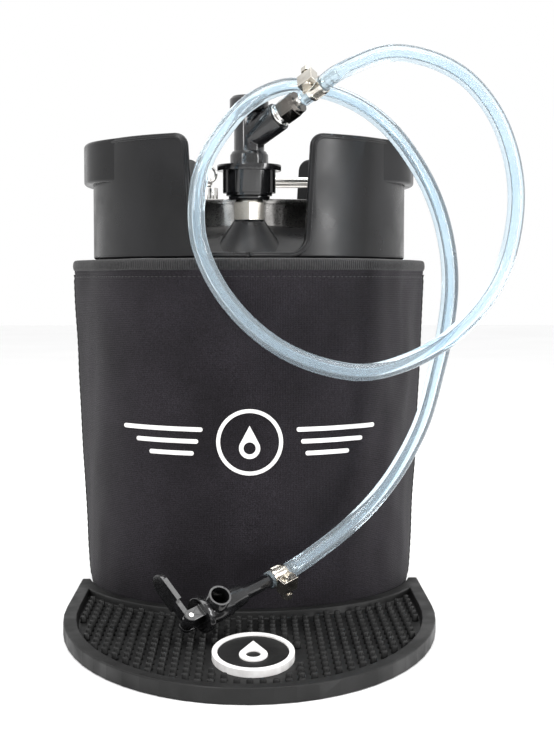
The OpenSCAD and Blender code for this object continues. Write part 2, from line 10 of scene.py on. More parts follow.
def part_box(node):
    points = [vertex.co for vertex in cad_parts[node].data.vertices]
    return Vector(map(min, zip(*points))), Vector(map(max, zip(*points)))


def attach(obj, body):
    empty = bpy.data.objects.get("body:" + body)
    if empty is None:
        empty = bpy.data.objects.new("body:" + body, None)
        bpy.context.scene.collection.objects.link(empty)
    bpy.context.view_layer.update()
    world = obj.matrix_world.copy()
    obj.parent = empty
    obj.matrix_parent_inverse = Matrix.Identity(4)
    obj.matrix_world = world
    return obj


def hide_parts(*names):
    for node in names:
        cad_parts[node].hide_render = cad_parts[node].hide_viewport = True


MM = 0.001
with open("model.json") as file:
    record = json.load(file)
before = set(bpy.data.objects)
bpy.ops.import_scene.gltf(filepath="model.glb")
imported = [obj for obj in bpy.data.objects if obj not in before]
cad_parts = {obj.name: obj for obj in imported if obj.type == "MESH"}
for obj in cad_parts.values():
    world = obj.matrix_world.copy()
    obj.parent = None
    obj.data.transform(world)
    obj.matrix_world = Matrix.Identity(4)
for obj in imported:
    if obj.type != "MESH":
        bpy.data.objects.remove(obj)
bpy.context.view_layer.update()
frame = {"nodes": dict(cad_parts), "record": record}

# ---------- places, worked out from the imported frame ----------

SLEEVE_LOW, SLEEVE_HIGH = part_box("sleeve")
BINDING_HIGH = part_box("sleeve_binding")[1]
TOP_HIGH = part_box("top_grip")[1].z
SLEEVE_R = BINDING_HIGH.x
SLEEVE_T = 4.6 * MM
SLEEVE_TIP = SLEEVE_HIGH.x
MAT_LOW, MAT_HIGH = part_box("drip_mat")
MAT_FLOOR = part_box("mat_badge")[0].z
WALL_R = 113.5 * MM
WALL_T = 5 * MM
GRIP_R = 120 * MM
NOTCH_W = 79 * MM
WALL_FOOT = 241.5 * MM
NOTCH_SILL = 245 * MM
GRIP_FOOT = 294.3 * MM
POST_Y = 75 * MM
CONE_TOP = 267 * MM

# ---------- camera ----------


def make_camera():
    """At the height of the sleeve's top edge, one metre in front, turned a little right and down."""
    data = bpy.data.cameras.new("camera")
    data.lens = 65.9
    camera = bpy.data.objects.new("camera", data)
    bpy.context.scene.collection.objects.link(camera)
    camera.location = (0, -1.016, 0.226)
    camera.rotation_euler = (math.radians(90 - 3.92), 0, math.radians(-1.15))
    bpy.context.scene.camera = camera


# ---------- mesh helpers ----------


def link_mesh(name, vertices, faces, finish, smooth=True):
    mesh = bpy.data.meshes.new(name)
    mesh.from_pydata([tuple(v) for v in vertices], [], faces)
    return link_data(name, mesh, finish, smooth)


def link_data(name, mesh, finish, smooth=True):
    mesh.materials.clear()
    mesh.materials.append(finish)
    work = bmesh.new()
    work.from_mesh(mesh)
    bmesh.ops.recalc_face_normals(work, faces=work.faces)
    work.to_mesh(mesh)
    work.free()
    for face in mesh.polygons:
        face.use_smooth = smooth
    piece = bpy.data.objects.new(name, mesh)
    bpy.context.scene.collection.objects.link(piece)
    return piece


def bevel(piece, width, segments=2, angle=35):
    """Rounds the piece's sharp edges."""
    weld = piece.modifiers.new("weld", "WELD")
    weld.merge_threshold = 0.01 * MM
    rounding = piece.modifiers.new("bevel", "BEVEL")
    rounding.width = width
    rounding.segments = segments
    rounding.limit_method = "ANGLE"
    rounding.angle_limit = math.radians(angle)
    rounding.harden_normals = True
    return piece


def ring_faces(rings, around, close_rings=False):
    """Quads between rings of points, each ring closed; close_rings joins the last ring to the first."""
    last = rings if close_rings else rings - 1
    return [
        (
            i * around + k,
            i * around + (k + 1) % around,
            (i + 1) % rings * around + (k + 1) % around,
            (i + 1) % rings * around + k,
        )
        for i in range(last)
        for k in range(around)
    ]


def polar(angle, radius, z):
    return Vector((radius * math.cos(angle), radius * math.sin(angle), z))


def lathe(profile, segments, centre=(0, 0)):
    """Vertices and faces of a closed ring: each profile point is (radius, z)."""
    vertices = [
        polar(2 * math.pi * i / segments, r, z) + Vector((centre[0], centre[1], 0))
        for i in range(segments)
        for r, z in profile
    ]
    return vertices, ring_faces(segments, len(profile), close_rings=True)


def joined(*parts):
    """Vertices and faces of several shapes as one."""
    vertices, faces = [], []
    for v, f in parts:
        faces += [tuple(len(vertices) + i for i in face) for face in f]
        vertices += v
    return vertices, faces


def rounded_corner(corner, before, after, radius, steps=6):
    """Points of an arc that rounds a corner of an outline, in 2D."""
    a, b = (before - corner).normalized(), (after - corner).normalized()
    half = a.angle(b) / 2
    reach = radius / math.tan(half)
    centre = corner + (a + b).normalized() * (radius / math.sin(half))
    start, end = corner + a * reach - centre, corner + b * reach - centre
    turn = start.angle_signed(end)
    points = []
    for i in range(steps + 1):
        t = -turn * i / steps
        c, s = math.cos(t), math.sin(t)
        points.append(centre + Vector((start.x * c - start.y * s, start.x * s + start.y * c)))
    return points


def rounded_outline(corners):
    """Outline from (x, y, radius) corners; a radius of 0 keeps the corner sharp."""
    points = [Vector((x, y)) for x, y, _ in corners]
    out = []
    for i, (_, _, radius) in enumerate(corners):
        if radius == 0:
            out.append(points[i])
        else:
            out += rounded_corner(points[i], points[i - 1], points[(i + 1) % len(points)], radius)
    return out


def flat_panel(outlines, half_thickness, edge, steps=3):
    """A filled 2D outline with holes, given thickness and a rounded edge, as a mesh."""
    curve = bpy.data.curves.new("outline", "CURVE")
    curve.dimensions = "2D"
    curve.fill_mode = "BOTH"
    curve.extrude = half_thickness - edge
    curve.bevel_depth = edge
    curve.bevel_resolution = steps
    curve.offset = -edge
    for outline in outlines:
        spline = curve.splines.new("POLY")
        spline.points.add(len(outline) - 1)
        for point, p in zip(spline.points, outline):
            point.co = (p[0], p[1], 0, 1)
        spline.use_cyclic_u = True
    holder = bpy.data.objects.new("outline", curve)
    bpy.context.scene.collection.objects.link(holder)
    bpy.context.view_layer.update()
    shown = holder.evaluated_get(bpy.context.evaluated_depsgraph_get())
    mesh = bpy.data.meshes.new_from_object(shown)
    bpy.data.objects.remove(holder)
    bpy.data.curves.remove(curve)
    return mesh


def wrap(mesh, place, step):
    """Cuts a flat panel every step along X, then puts each point (x, y, z) at place(x, y, z)."""
    work = bmesh.new()
    work.from_mesh(mesh)
    bmesh.ops.remove_doubles(work, verts=work.verts, dist=0.002 * MM)
    low = min(v.co.x for v in work.verts)
    high = max(v.co.x for v in work.verts)
    count = int((high - low) / step)
    for i in range(1, count + 1):
        bmesh.ops.bisect_plane(
            work,
            geom=work.verts[:] + work.edges[:] + work.faces[:],
            plane_co=(low + (high - low) * i / (count + 1), 0, 0),
            plane_no=(1, 0, 0),
            dist=0.01 * MM,
        )
    for v in work.verts:
        v.co = place(v.co.x, v.co.y, v.co.z)
    work.to_mesh(mesh)
    work.free()
    return mesh


def spline_points(route, steps):
    """Catmull-Rom curve through the route's points."""
    ends = [route[0]] + route + [route[-1]]
    points = []
    for a, b, c, d in zip(ends, ends[1:], ends[2:], ends[3:]):
        for k in range(steps):
            t = k / steps
            points.append(
                0.5 * (2 * b + (c - a) * t + (2 * a - 5 * b + 4 * c - d) * t**2
                       + (3 * b - a - 3 * c + d) * t**3)
            )
    return points + [route[-1]]


def carried_sides(path):
    """Tangent and two side vectors at each point, carried along the path without twist."""
    side = Vector((0, 1, 0))
    frames = []
    for i in range(len(path)):
        along = (path[min(i + 1, len(path) - 1)] - path[max(i - 1, 0)]).normalized()
        side = (side - side.dot(along) * along).normalized()
        frames.append((along, side, along.cross(side)))
    return frames


# ---------- materials ----------


class Finish:
    """A Principled material whose colour, roughness and bump come from procedural textures."""

    def __init__(self, name, **sockets):
        self.material = bpy.data.materials.new(name)
        self.material.use_nodes = True
        self.tree = self.material.node_tree
        self.shader = self.tree.nodes["Principled BSDF"]
        self.height = None
        for socket, value in sockets.items():
            self.shader.inputs[socket.replace("_", " ")].default_value = value

    def node(self, kind, **links):
        node = self.tree.nodes.new(kind)
        for socket, source in links.items():
            self.tree.links.new(source, node.inputs[socket.replace("_", " ")])
        return node

    def noise(self, scale, stretch=(1, 1, 1), detail=4.0):
        """Noise in object space; scale is in features per metre."""
        place = self.node("ShaderNodeTexCoord").outputs["Object"]
        mapping = self.node("ShaderNodeMapping", Vector=place)
        mapping.inputs["Scale"].default_value = stretch
        texture = self.node("ShaderNodeTexNoise", Vector=mapping.outputs[0])
        texture.inputs["Scale"].default_value = scale
        texture.inputs["Detail"].default_value = detail
        return texture.outputs["Fac"]

    def ramp(self, source, low, high, start=0.35, end=0.65):
        """Source mapped from start..end to two colours or two numbers."""
        if isinstance(low, tuple):
            ramp = self.node("ShaderNodeValToRGB", Fac=source)
            ramp.color_ramp.elements[0].position = start
            ramp.color_ramp.elements[1].position = end
            ramp.color_ramp.elements[0].color = (*low, 1)
            ramp.color_ramp.elements[1].color = (*high, 1)
            return ramp.outputs["Color"]
        scaled = self.node("ShaderNodeMapRange", Value=source)
        for socket, value in zip(("From Min", "From Max", "To Min", "To Max"), (start, end, low, high)):
            scaled.inputs[socket].default_value = value
        return scaled.outputs["Result"]

    def paint(self, socket, source):
        self.tree.links.new(source, self.shader.inputs[socket])
        return self

    def bump(self, source, distance, strength=1.0):
        """Adds one layer of relief, in metres."""
        node = self.node("ShaderNodeBump", Height=source)
        node.inputs["Distance"].default_value = distance
        node.inputs["Strength"].default_value = strength
        if self.height is not None:
            self.tree.links.new(self.height, node.inputs["Normal"])
        self.height = node.outputs["Normal"]
        self.tree.links.new(self.height, self.shader.inputs["Normal"])
        return self

    def maths(self, operation, a, b=None):
        node = self.tree.nodes.new("ShaderNodeMath")
        node.operation = operation
        for i, value in enumerate((a, b)):
            if value is None:
                continue
            if isinstance(value, (int, float)):
                node.inputs[i].default_value = value
            else:
                self.tree.links.new(value, node.inputs[i])
        return node.outputs[0]

    def knit(self, wale, course):
        """Height of a knit face round the keg: columns of small V-shaped loops."""
        place = self.node("ShaderNodeTexCoord").outputs["Object"]
        axes = self.node("ShaderNodeSeparateXYZ", Vector=place).outputs
        around = self.maths("MULTIPLY", self.maths("ARCTAN2", axes[1], axes[0]), SLEEVE_R)
        column = self.maths("MULTIPLY", around, math.pi / wale)
        slant = self.maths("ABSOLUTE", self.maths("SINE", column))
        rise = self.maths("MULTIPLY", slant, 1.4)
        row = self.maths("ADD", self.maths("MULTIPLY", axes[2], 2 * math.pi / course), rise)
        loop = self.maths("MULTIPLY_ADD", self.maths("SINE", row), 0.5)
        return self.maths("MULTIPLY", self.maths("ADD", loop, 0.6), slant)


def metal(name, dark, light, rough_low, rough_high, stretch=(1, 1, 1), scale=900, relief=0.01):
    """Bare metal with fine drawn or turned marks."""
    f = Finish(name, Metallic=1.0)
    marks = f.noise(scale, stretch)
    clouds = f.noise(60)
    f.paint("Base Color", f.ramp(clouds, dark, light))
    f.paint("Roughness", f.ramp(marks, rough_low, rough_high))
    return f.bump(marks, relief * MM).material


def black_plastic(name):
    """Glossy moulded plastic with flow marks, dust and fine scratches."""
    f = Finish(name, Coat_Weight=0.25, Coat_Roughness=0.08, IOR=1.5)
    f.paint("Base Color", f.ramp(f.noise(90), (0.004, 0.004, 0.0045), (0.012, 0.012, 0.013)))
    f.paint("Roughness", f.ramp(f.noise(500, (1, 1, 0.2)), 0.12, 0.2))
    return f.bump(f.noise(120), 0.02 * MM).bump(f.noise(1800), 0.002 * MM).material


def black_rubber(name, base, rough_low, rough_high, grain):
    """Moulded rubber: handling marks, a dusty bloom and a fine grain."""
    f = Finish(name, IOR=1.5, Specular_IOR_Level=0.3)
    lighter = tuple(c * 2.6 for c in base)
    f.paint("Base Color", f.ramp(f.noise(22, detail=7), base, lighter))
    f.paint("Roughness", f.ramp(f.noise(40, detail=8), rough_low, rough_high))
    return f.bump(f.noise(1500), grain).bump(f.noise(35), 0.12 * MM).material


def neoprene():
    """Knit-faced neoprene: loops, lint specks and slow changes of tone."""
    f = Finish("neoprene_knit", Sheen_Weight=0.08, Sheen_Roughness=0.4, Specular_IOR_Level=0.12)
    loops = f.knit(1.1 * MM, 1.3 * MM)
    tone = f.ramp(f.noise(18, detail=6), (0.009, 0.0078, 0.0095), (0.016, 0.014, 0.017))
    specks = f.ramp(f.noise(1700, detail=2), (0.55, 0.55, 0.55), (1.7, 1.7, 1.75), 0.38, 0.68)
    mix = f.tree.nodes.new("ShaderNodeMix")
    mix.data_type = "RGBA"
    mix.blend_type = "MULTIPLY"
    mix.inputs[0].default_value = 1.0
    f.tree.links.new(tone, mix.inputs[6])
    f.tree.links.new(specks, mix.inputs[7])
    f.paint("Base Color", mix.outputs[2])
    f.paint("Roughness", f.ramp(loops, 0.95, 0.72, 0.0, 1.0))
    return f.bump(loops, 0.12 * MM, 0.8).bump(f.noise(120), 0.3 * MM, 0.5).material


def tape(name, dark, light):
    """Ribbed knit tape and sewing thread."""
    f = Finish(name, Sheen_Weight=0.3, Specular_IOR_Level=0.25)
    f.paint("Base Color", f.ramp(f.noise(400), dark, light))
    f.paint("Roughness", f.ramp(f.noise(900), 0.6, 0.85))
    return f.bump(f.noise(2600, (1, 1, 3)), 0.05 * MM).material


def white_print(name, rough):
    """White print or white moulded rubber, a little worn and uneven."""
    f = Finish(name)
    f.paint("Base Color", f.ramp(f.noise(140, detail=6), (0.72, 0.70, 0.69), (0.86, 0.85, 0.84)))
    f.paint("Roughness", f.ramp(f.noise(500), rough, rough + 0.2))
    return f.bump(f.noise(2200), 0.04 * MM).material


def clear_vinyl():
    """Soft clear hose with a blue tint, slightly cloudy, with faint drawing lines."""
    f = Finish("clear_vinyl", Transmission_Weight=0.88, IOR=1.3, Specular_IOR_Level=1.0)
    f.paint("Base Color", f.ramp(f.noise(14, detail=2), (0.74, 0.86, 0.94), (0.80, 0.90, 0.96)))
    f.paint("Roughness", f.ramp(f.noise(60, detail=2), 0.03, 0.07))
    return f.bump(f.noise(60, detail=2), 0.01 * MM).material


RUBBER = black_rubber("satin_rubber", (0.003, 0.003, 0.0034), 0.26, 0.42, 0.008 * MM)
MAT_RUBBER = black_rubber("mat_rubber_matte", (0.003, 0.003, 0.003), 0.45, 0.7, 0.02 * MM)
SEAL_RUBBER = black_rubber("seal_rubber", (0.008, 0.008, 0.008), 0.35, 0.5, 0.01 * MM)
STEEL = metal("spun_steel", (0.42, 0.41, 0.40), (0.58, 0.57, 0.55), 0.2, 0.38, (1, 1, 8))
POLISHED = metal("polished_steel_wire", (0.55, 0.54, 0.52), (0.70, 0.69, 0.67), 0.08, 0.22)
SPRING = metal("spring_wire", (0.45, 0.45, 0.45), (0.55, 0.55, 0.54), 0.2, 0.35)
NUT = metal("turned_nut", (0.60, 0.57, 0.51), (0.74, 0.71, 0.65), 0.26, 0.42, (1, 1, 5), 1400, 0.02)
DARK_NUT = metal("dark_plated_nut", (0.10, 0.092, 0.084), (0.17, 0.158, 0.145), 0.1, 0.22)
CLAMP = metal("rolled_strip", (0.52, 0.49, 0.44), (0.72, 0.69, 0.63), 0.1, 0.24, scale=1800)
GLOSS = black_plastic("gloss_black_plastic")
KNIT = neoprene()
TAPE = tape("ribbed_tape", (0.006, 0.006, 0.0065), (0.016, 0.015, 0.016))
THREAD = tape("sewing_thread", (0.004, 0.004, 0.004), (0.010, 0.010, 0.010))
PRINT = white_print("white_knit_print", 0.6)
WHITE_RUBBER = white_print("white_moulded_rubber", 0.45)
VINYL = clear_vinyl()

SLOT_FINISH = {
    "steel": STEEL,
    "polished_steel": POLISHED,
    "spring_steel": SPRING,
    "satin_nut": NUT,
    "dark_nut": DARK_NUT,
    "clamp_steel": CLAMP,
    "rubber_top": RUBBER,
    "rubber_trim": SEAL_RUBBER,
    "seal": SEAL_RUBBER,
    "gloss_black": GLOSS,
    "clear_tube": VINYL,
    "neoprene": KNIT,
    "binding": TAPE,
    "white_print": PRINT,
    "mat_rubber": MAT_RUBBER,
    "white_rubber": WHITE_RUBBER,
}
EDGE_WIDTH = {"gloss_black": 0.5, "satin_nut": 0.6, "dark_nut": 0.6, "clamp_steel": 0.2, "steel": 0.4,
              "rubber_top": 1.2, "mat_rubber": 1.6, "white_rubber": 0.5, "polished_steel": 0.3}


def finish_cad_nodes():
    """Every carried-over node gets its slot's material and, where it shows, rounded edges."""
    for part in frame["record"]["subparts"]:
        node = frame["nodes"][part["node"]]
        slot = part["material_slot"]
        node.data.materials.clear()
        node.data.materials.append(SLOT_FINISH[slot])
        if slot in EDGE_WIDTH:
            bevel(node, EDGE_WIDTH[slot] * MM)


# ---------- hose ----------


def along(point, way, distances):
    return [point + Vector(way) * d for d in distances]


def direction(turn, rise):
    """Unit vector at a turn from +X, in degrees, and a rise above the horizon."""
    t, r = math.radians(turn), math.radians(rise)
    return Vector((math.cos(r) * math.cos(t), math.cos(r) * math.sin(t), math.sin(r)))


# Where each end of the hose is held, and the way its fitting points, in degrees
OUTLET_TURN, OUTLET_RISE = -35, 28
OUTLET_AT = Vector((0, -75, 323)) * MM
OUTLET_WAY = direction(OUTLET_TURN, OUTLET_RISE)
TAP_HEADING, TAP_TILT = 218, 14.7
TAP_AT = Vector((12, -152, 35.5)) * MM
TAP_WAY = direction(TAP_HEADING, -TAP_TILT)
LOOP = [
    (87, -127, 371), (112, -132, 368), (136, -135, 356), (154, -136, 336), (165, -137, 312),
    (170, -138, 285), (168, -140, 257), (160, -142, 230), (145, -144, 207), (125, -145, 188),
    (101, -146, 175), (74, -146, 168), (46, -144, 172), (20, -142, 183), (-3, -139, 201),
    (-21, -135, 224), (-32, -130, 250), (-34, -125, 276), (-29, -118, 302), (-16, -109, 325),
    (1, -100, 344), (25, -82, 356.5), (50, -73, 355), (74, -78, 345), (94, -88, 328),
    (110, -99, 305), (122, -109, 279), (129, -116, 251), (131, -120, 223), (128, -121, 194),
    (122, -121, 166), (113, -120, 133), (98, -119, 103), (81, -119, 80), (63, -122, 63),
    (46, -129, 51),
]
ROUTE = (
    along(OUTLET_AT, OUTLET_WAY, [d * MM for d in (49, 65, 82)])
    + [Vector(p) * MM for p in LOOP]
    + along(TAP_AT, TAP_WAY, [d * MM for d in (-22, -10, 0)])
)
HOSE_R = 5.55 * MM
BORE_R = 2.4 * MM
BARB_R = 3.78 * MM


def path_lengths(path):
    """Distance from the start at each point."""
    out = [0.0]
    for a, b in zip(path, path[1:]):
        out.append(out[-1] + (b - a).length)
    return out


def make_hose():
    """Clear tube with a wall: an outer surface, a bore that opens over each barb, and two end faces."""
    path = spline_points(ROUTE, 8)
    lengths = path_lengths(path)
    total = lengths[-1]
    around = 28

    def bore(s):
        barb = max(1 - max(0.0, s - 31 * MM) / (4 * MM), 1 - max(0.0, total - s - 23 * MM) / (4 * MM), 0)
        return BORE_R + (BARB_R - BORE_R) * min(1.0, barb)

    frames = carried_sides(path)
    outer, inner = [], []
    for p, s, (_, u, v) in zip(path, lengths, frames):
        for k in range(around):
            a = 2 * math.pi * k / around
            side = u * math.cos(a) + v * math.sin(a)
            outer.append(p + side * HOSE_R)
            inner.append(p + side * bore(s))
    n = len(path)
    shift = n * around
    faces = ring_faces(n, around)
    faces += [tuple(shift + i for i in reversed(f)) for f in ring_faces(n, around)]
    for first in (0, (n - 1) * around):
        faces += [
            (first + k, first + (k + 1) % around, shift + first + (k + 1) % around, shift + first + k)
            for k in range(around)
        ]
    hose = link_mesh("clear_hose", outer + inner, faces, VINYL)
    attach(hose, "keg")
    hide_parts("hose")
    return hose, path, total


def declare_hose(hose, path, total):
    tuple(path[0])
    [tuple(p) for p in path]


# ---------- hose clamps ----------

BAND_R = 5.6 * MM
BAND_T = 0.8 * MM
BAND_W = 11 * MM


def turned(origin, way, heading, tilt, roll):
    """Frame whose local Z runs along way, as the fitting's own frame in the CAD model."""
    turn = (
        Matrix.Rotation(math.radians(heading), 4, "Z")
        @ Matrix.Rotation(math.radians(tilt), 4, "Y")
        @ Matrix.Rotation(math.radians(roll), 4, "Z")
    )
    return Matrix.Translation(origin + way) @ turn


# Each clamp's distance along its fitting, and its roll round the hose in degrees
UPPER_CLAMP_AT, UPPER_ROLL = 56 * MM, 145
LOWER_CLAMP_AT, LOWER_ROLL = -13 * MM, 136 + 200
UPPER_FRAME = turned(OUTLET_AT, OUTLET_WAY * UPPER_CLAMP_AT, OUTLET_TURN, 90 - OUTLET_RISE, UPPER_ROLL)
LOWER_FRAME = turned(TAP_AT, TAP_WAY * LOWER_CLAMP_AT, TAP_HEADING, 90 + TAP_TILT, LOWER_ROLL)


def slotted_band():
    """Ring of steel strip with a row of slots pressed into it."""
    around = 192
    slots = 24
    rows = [0.0, 0.12, 0.2, 0.24, 0.76, 0.8, 0.88, 1.0]
    vertices = []
    for i in range(around):
        a = 2 * math.pi * i / around
        slot = (i * slots / around) % 1 < 0.5
        for j, w in enumerate(rows):
            deep = slot and 3 <= j <= 4
            lip = 0.12 * MM if j in (0, len(rows) - 1) else 0
            vertices.append(polar(a, BAND_R + BAND_T - lip - (0.55 * MM if deep else 0), w * BAND_W))
        vertices += [polar(a, BAND_R, BAND_W), polar(a, BAND_R, 0)]
    return vertices, ring_faces(around, len(rows) + 2, close_rings=True)


def band_tail(length, lift):
    """The strip's free end: it leaves the ring at the worm housing and ends in a point."""
    steps = 12
    outline = []
    for i in range(steps + 1):
        t = i / steps
        x = 3 * MM - t * length
        y = BAND_R + BAND_T + 0.35 * MM + lift * t * t
        half = BAND_W * 0.46 * (1 if t < 0.55 else max(0.03, 1 - ((t - 0.55) / 0.45) ** 1.4))
        mid = BAND_W / 2
        outline.append([Vector((x, y, mid - half)), Vector((x, y, mid + half)),
                        Vector((x, y + 0.45 * MM, mid + half)), Vector((x, y + 0.45 * MM, mid - half))])
    vertices = [v for ring in outline for v in ring]
    faces = ring_faces(len(outline), 4) + [(0, 1, 2, 3)]
    last = (len(outline) - 1) * 4
    return vertices, faces + [(last + 3, last + 2, last + 1, last)]


def make_band(name, node, place, tail, lift):
    vertices, faces = joined(slotted_band(), band_tail(tail, lift))
    band = link_mesh(name, [place @ v for v in vertices], faces, CLAMP, smooth=False)
    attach(band, "keg")
    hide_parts(node)
    return band


# ---------- neoprene sleeve ----------


def sleeve_radius(angle, z):
    """Outer radius: round at the bottom, drawn out to a sewn seam at each side towards the top."""
    rise = min(1.0, max(0.0, (z - SLEEVE_LOW.z) / (SLEEVE_HIGH.z - SLEEVE_LOW.z)))
    tip = SLEEVE_R + (SLEEVE_TIP + 1.5 * MM - SLEEVE_R) * (0.04 + 0.96 * rise**0.85)
    reach = math.acos(SLEEVE_R / tip)
    off_seam = min(abs(math.remainder(angle, 2 * math.pi)), abs(math.remainder(angle - math.pi, 2 * math.pi)))
    softened = math.sqrt(off_seam**2 + 0.012**2)
    r = SLEEVE_R / math.cos(max(0.0, reach - softened))
    point = polar(angle, 1, z * 9)
    soft = 0.5 * MM * noise.noise(point * 2.1) * (1 - 0.5 * rise)
    dent = 1.6 * MM * noise.noise(Vector((point.x * 5, point.y * 5, z * 26)))
    side = max(0.0, math.cos(angle + 0.5)) ** 6 + 0.5 * max(0.0, math.cos(angle - math.pi - 0.3)) ** 8
    hem = -0.9 * MM * math.exp(-(((z - SLEEVE_LOW.z) / (5 * MM)) ** 2))
    stitch = -0.7 * MM * math.exp(-(((z - STITCH_Z) / (0.9 * MM)) ** 2))
    return r + soft + dent * side + hem + stitch


BINDING_H = 8.5 * MM
STITCH_Z = SLEEVE_HIGH.z - 10.2 * MM


def make_sleeve():
    """The sleeve's body: outer and inner skins joined over the top and under the hem."""
    around = 360
    rows = 110
    low, high = SLEEVE_LOW.z, SLEEVE_HIGH.z - 1 * MM
    section = []
    for j in range(rows + 1):
        section.append((low + (high - low) * j / rows, 0.0))
    for k in range(1, 4):
        section.append((high + 0.8 * MM * math.sin(math.pi * k / 4), -SLEEVE_T * k / 4))
    for j in range(rows, -1, -5):
        section.append((low + (high - low) * j / rows, -SLEEVE_T))
    vertices = []
    for i in range(around):
        a = 2 * math.pi * i / around
        for z, inset in section:
            vertices.append(polar(a, sleeve_radius(a, z) + inset, z))
    sleeve = link_mesh("neoprene_sleeve", vertices, ring_faces(around, len(section), True), KNIT)
    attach(sleeve, "keg")
    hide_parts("sleeve")
    middle = SLEEVE_R - SLEEVE_T / 2
    extra = 2 * 2.2 * MM
    return sleeve, (2 * math.pi * middle + extra, high - low)


def make_binding():
    """Ribbed tape folded over the sleeve's top edge."""
    ribs = 430
    per_rib = 4
    half_w = SLEEVE_T / 2 + 0.9 * MM
    section = []
    for k in range(16):
        a = 2 * math.pi * k / 16
        c, s = math.cos(a), math.sin(a)
        section.append((math.copysign(abs(c) ** 0.7, c) * half_w,
                        math.copysign(abs(s) ** 0.8, s) * BINDING_H / 2))
    top = BINDING_HIGH.z + 0.6 * MM
    vertices = []
    for i in range(ribs * per_rib):
        a = 2 * math.pi * i / (ribs * per_rib)
        rib = 0.32 * MM * math.cos(2 * math.pi * i / per_rib)
        wave = 0.35 * MM * noise.noise(polar(a, 3, 0))
        middle = sleeve_radius(a, top - BINDING_H) - SLEEVE_T / 2
        for across, up in section:
            grown = 1 + rib / half_w
            vertices.append(polar(a, middle + across * grown, top - BINDING_H / 2 + up + wave))
    binding = link_mesh("sleeve_tape", vertices, ring_faces(ribs * per_rib, 16, True), TAPE)
    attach(binding, "keg")
    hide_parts("sleeve_binding")
    return binding


def make_stitches():
    """Row of stitches just under the tape."""
    count = 210
    half_l, half_w = 1.25 * MM, 0.36 * MM
    vertices, faces = [], []
    for i in range(count):
        a = 2 * math.pi * i / count
        span = half_l / SLEEVE_R
        rings = []
        for k in range(5):
            t = -1 + k / 2
            b = a + span * t
            size = half_w * math.sqrt(max(0.08, 1 - t * t * 0.9))
            r = sleeve_radius(b, STITCH_Z) + 0.28 * MM
            rings += [polar(b, r + size * math.cos(q), STITCH_Z + size * math.sin(q))
                      for q in [2 * math.pi * n / 6 for n in range(6)]]
        first = len(vertices)
        vertices += rings
        faces += [tuple(first + n for n in f) for f in ring_faces(5, 6)]
        faces += [tuple(first + n for n in range(6)), tuple(first + 24 + n for n in range(5, -1, -1))]
    stitches = link_mesh("sleeve_stitches", vertices, faces, THREAD)
    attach(stitches, "keg")
    return stitches


def make_seams():
    """The sewn ridge that runs down each side."""
    shapes = []
    for side in (0, math.pi):
        rings, around = [], 8
        steps = 90
        low, high = SLEEVE_LOW.z + 1 * MM, SLEEVE_HIGH.z - BINDING_H
        for i in range(steps + 1):
            z = low + (high - low) * i / steps
            r = sleeve_radius(side, z)
            size = (0.8 + 0.12 * math.cos(math.pi * i)) * MM
            rings += [polar(side, r, z) + Vector((size * math.cos(q), size * 0.9 * math.sin(q), 0))
                      for q in [2 * math.pi * n / around for n in range(around)]]
        faces = ring_faces(steps + 1, around)
        faces += [tuple(range(around)), tuple(steps * around + n for n in range(around - 1, -1, -1))]
        shapes.append((rings, faces))
    seams = link_mesh("sleeve_side_seams", *joined(*shapes), THREAD)
    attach(seams, "keg")
    return seams


def ellipse(cx, cy, rx, ry, steps=56):
    return [Vector((cx + rx * math.cos(2 * math.pi * i / steps), cy + ry * math.sin(2 * math.pi * i / steps)))
            for i in range(steps)]


def drop_outline(low_y, radius, tip_y):
    """Outline of a drop: round below, with tangent sides up to a point."""
    centre = Vector((0, low_y))
    half = math.acos(radius / (tip_y - low_y))
    start, end = math.pi / 2 + half, math.pi / 2 - half + 2 * math.pi
    arc = [centre + Vector((math.cos(t), math.sin(t))) * radius
           for t in [start + (end - start) * i / 36 for i in range(37)]]
    return arc + [Vector((0, tip_y))]


def make_emblem():
    """Generic mark printed on the front: a ring, a drop and three bars at each side."""
    mid_z = (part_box("sleeve_emblem")[0].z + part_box("sleeve_emblem")[1].z) / 2
    ring_r = 22 * MM
    outlines = [[ellipse(0, 0, ring_r, ring_r), ellipse(0, 0, ring_r - 2.6 * MM, ring_r - 2.6 * MM)]]
    outlines.append([drop_outline(-4 * MM, 7 * MM, 11 * MM), ellipse(0, -4 * MM, 4 * MM, 4 * MM)])
    for side in (-1, 1):
        for i in range(3):
            cx, cy = side * (58 - 3 * i) * MM, (8 - 8 * i) * MM
            hw, hh = (27 - 6 * i) * MM, 1.5 * MM
            corners = [(cx - hw, cy - hh, hh * 0.9), (cx + hw, cy - hh, hh * 0.9),
                       (cx + hw, cy + hh, hh * 0.9), (cx - hw, cy + hh, hh * 0.9)]
            outlines.append([rounded_outline(corners)])

    def place(x, y, z):
        angle = -math.pi / 2 + math.asin(max(-0.99, min(0.99, x / SLEEVE_R)))
        return polar(angle, sleeve_radius(angle, mid_z + y) + 0.2 * MM + z, mid_z + y)

    work = bmesh.new()
    for outline in outlines:
        mesh = wrap(flat_panel(outline, 0.25 * MM, 0.1 * MM, 1), place, 1.5 * MM)
        work.from_mesh(mesh)
        bpy.data.meshes.remove(mesh)
    mesh = bpy.data.meshes.new("sleeve_print")
    work.to_mesh(mesh)
    work.free()
    emblem = link_data("sleeve_print", mesh, PRINT, smooth=False)
    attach(emblem, "keg")
    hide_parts("sleeve_emblem")
    return emblem


# ---------- rubber top ----------


def arc_at(radius):
    """Places a flat panel point round the keg: X is the arc length from +X, Y the height, Z outwards."""
    def place(x, y, z):
        return polar(x / radius, radius + z, y)
    return place


